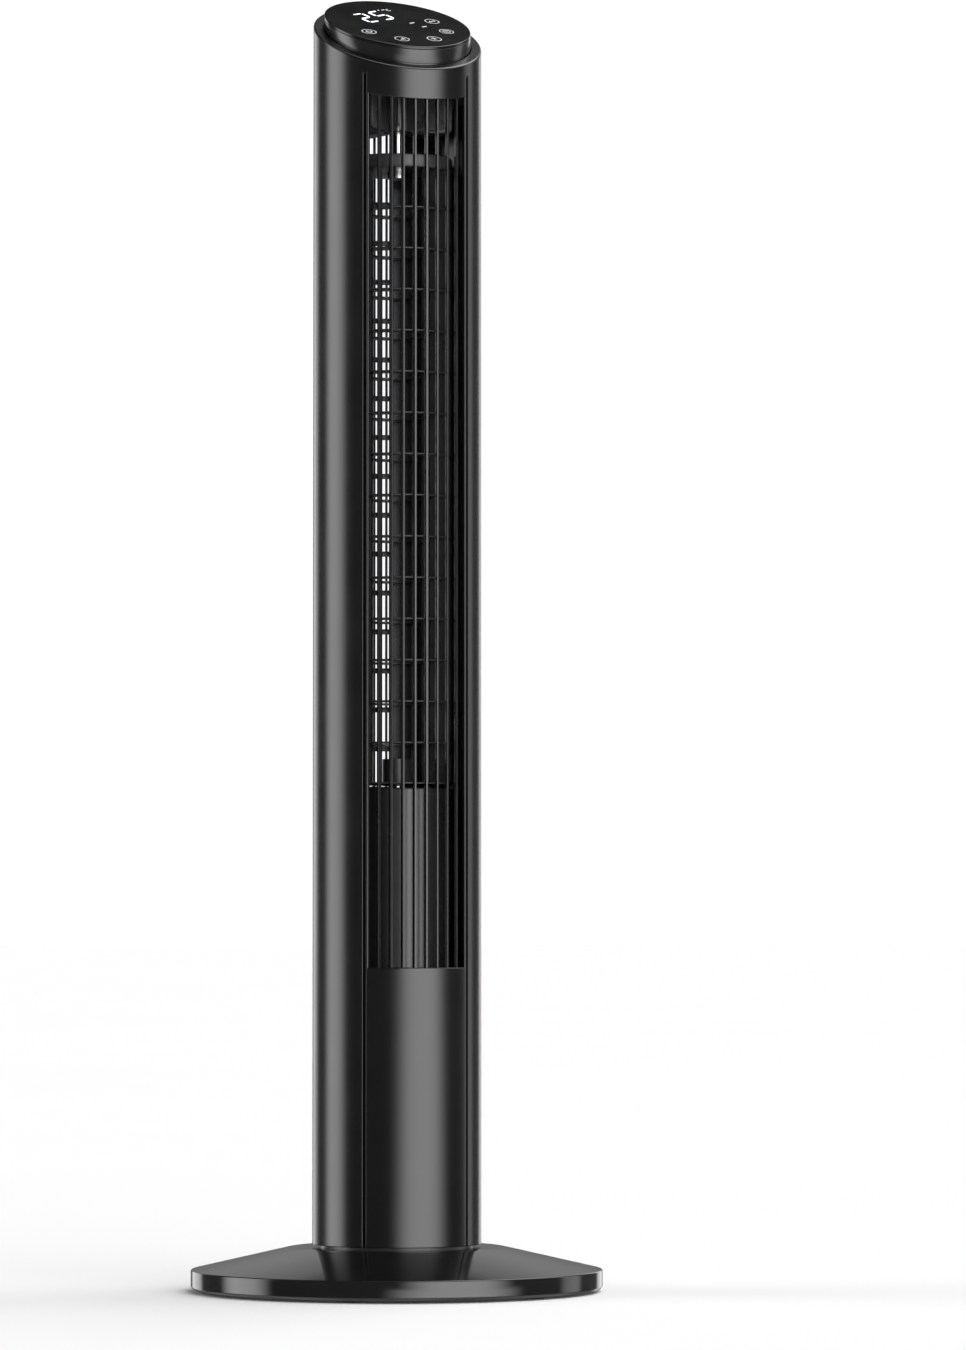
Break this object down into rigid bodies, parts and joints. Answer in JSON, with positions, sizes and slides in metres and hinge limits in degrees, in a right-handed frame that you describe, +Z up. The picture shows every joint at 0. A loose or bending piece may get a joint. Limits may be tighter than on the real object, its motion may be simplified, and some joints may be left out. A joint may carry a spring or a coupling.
{
  "type": "tower fan",
  "caption": "Slim oscillating tower fan: round conical base, cylindrical column with finned outlet, rear intake, sloping touch panel and cross-flow blower rotor.",
  "frame": {"origin": "on the floor under the centre of the round base, on the column's swivel axis", "axes": "+Z up the column, -Y out of the air outlet (front), +X to the right seen from the front's own side of the part"},
  "size_m": [0.336, 0.336, 1.067],
  "materials": {
    "base_gloss": "gloss black moulded ABS with fine swirl marks",
    "base_underside": "matt black moulded plastic",
    "shell_plastic": "satin black moulded ABS with a fine spark-eroded grain",
    "grille_plastic": "satin black moulded plastic",
    "duct_plastic": "satin black moulded plastic",
    "frame_plastic": "dark grey glass-filled plastic",
    "rotor_plastic": "dark grey glass-filled plastic",
    "panel_rim": "gloss black plastic",
    "panel_face": "hard-coated black acrylic face with printed touch rings",
    "led_white": "white light guides",
    "circuit_board": "green solder mask",
    "components": "moulded component bodies",
    "touch_foam": "conductive foam",
    "ir_window": "dark red infrared window",
    "wire_jacket": "black wire jacket",
    "acetal": "natural white acetal",
    "foot_rubber": "matt black rubber",
    "plated_steel": "zinc-plated steel",
    "black_screws": "black oxide steel",
    "motor_steel": "plated motor steel",
    "shaft_steel": "ground steel",
    "copper_winding": "enamelled copper windings on a laminated core",
    "bronze": "sintered bronze"
  },
  "bodies": {
    "base": {"base_cover": "base_gloss", "base_pan": "base_underside", "ballast_ring": "plated_steel", "rubber_feet": "foot_rubber", "base_screws": "plated_steel", "cable_gland": "foot_rubber", "slide_ring": "frame_plastic", "pivot_post": "frame_plastic", "post_screws": "plated_steel", "fixed_gear": "acetal", "gear_screws": "plated_steel"},
    "column": {"column_base": "frame_plastic", "column_base_screws": "plated_steel", "front_shell": "shell_plastic", "front_grille": "grille_plastic", "rear_shell": "shell_plastic", "rear_grille": "grille_plastic", "rear_grille_screws": "black_screws", "shell_screws": "black_screws", "carry_handle": "shell_plastic", "vortex_wall": "duct_plastic", "volute_wall": "duct_plastic", "motor_drum": "duct_plastic", "motor_can": "motor_steel", "motor_stator": "copper_winding", "motor_bearings": "bronze", "motor_mounts": "foot_rubber", "motor_screws": "plated_steel", "upper_bracket": "duct_plastic", "upper_bush": "bronze", "bush_cushion": "foot_rubber", "bracket_screws": "plated_steel", "panel_housing": "panel_rim", "control_panel": "panel_face", "display_module": "led_white", "control_board": "circuit_board", "touch_pads": "touch_foam", "ir_receiver": "ir_window", "power_board": "circuit_board", "board_parts": "components", "board_screws": "plated_steel", "swivel_motor": "motor_steel", "swivel_bracket": "plated_steel", "swivel_screws": "plated_steel", "wire_harness": "wire_jacket"},
    "rotor": {"blower_rotor": "rotor_plastic", "rotor_hub": "foot_rubber", "motor_shaft": "shaft_steel", "motor_rotor": "motor_steel", "top_pin": "shaft_steel"},
    "pinion": {"drive_pinion": "acetal", "pinion_shaft": "shaft_steel"}
  },
  "joints": [
    {"name": "swivel", "type": "hinge", "parent": "base", "child": "column", "pos_m": [0, 0, 0.05], "axis": [0, 0, 1], "range_deg": [-45, 45]},
    {"name": "blower_spin", "type": "hinge", "parent": "column", "child": "rotor", "pos_m": [0, 0, 0.66], "axis": [0, 0, 1], "continuous": true},
    {"name": "pinion_spin", "type": "hinge", "parent": "column", "child": "pinion", "pos_m": [0, 0.045, 0.056], "axis": [0, 0, 1], "range_deg": [-136, 136]}
  ],
  "couplings": [
    {"joint": "pinion_spin", "follows": "swivel", "ratio": 3}
  ]
}
